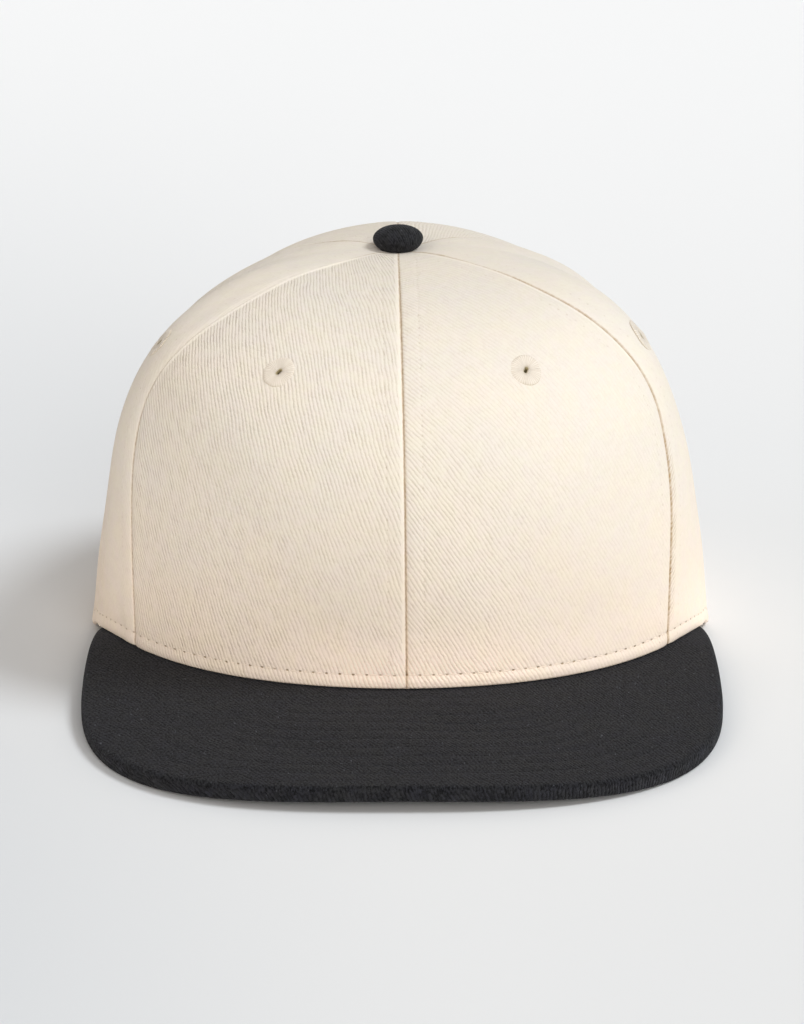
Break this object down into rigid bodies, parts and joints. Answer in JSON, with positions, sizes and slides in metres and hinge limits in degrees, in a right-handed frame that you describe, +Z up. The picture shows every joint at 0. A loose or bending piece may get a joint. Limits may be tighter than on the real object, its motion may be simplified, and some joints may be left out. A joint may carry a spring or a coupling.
{
  "type": "flat bill cap",
  "caption": "Structured cap of natural cotton twill with a boxy front, sewn eyelets, a covered black button and a wide flat black bill.",
  "frame": {"origin": "on the ground, under the middle of the cap's bounding box", "axes": "+Z up, -Y the way the bill points, +X the wearer's left"},
  "size_m": [0.1792, 0.267, 0.1193],
  "materials": {
    "natural_twill": "undyed heavy cotton twill, matt, with fine diagonal ridges and topstitching in the same colour",
    "natural_thread": "undyed embroidery thread, satin, laid radially",
    "black_twill": "washed black cotton twill, matt, with fine diagonal ridges",
    "band_cotton": "plain undyed cotton, matt"
  },
  "bodies": {
    "root": {"crown_front_left": "natural_twill", "eyelet_front_left": "natural_thread", "crown_side_left": "natural_twill", "eyelet_side_left": "natural_thread", "crown_back_left": "natural_twill", "eyelet_back_left": "natural_thread", "crown_front_right": "natural_twill", "eyelet_front_right": "natural_thread", "crown_side_right": "natural_twill", "eyelet_side_right": "natural_thread", "crown_back_right": "natural_twill", "eyelet_back_right": "natural_thread", "top_button": "black_twill", "bill": "black_twill", "sweatband": "band_cotton"}
  },
  "joints": []
}
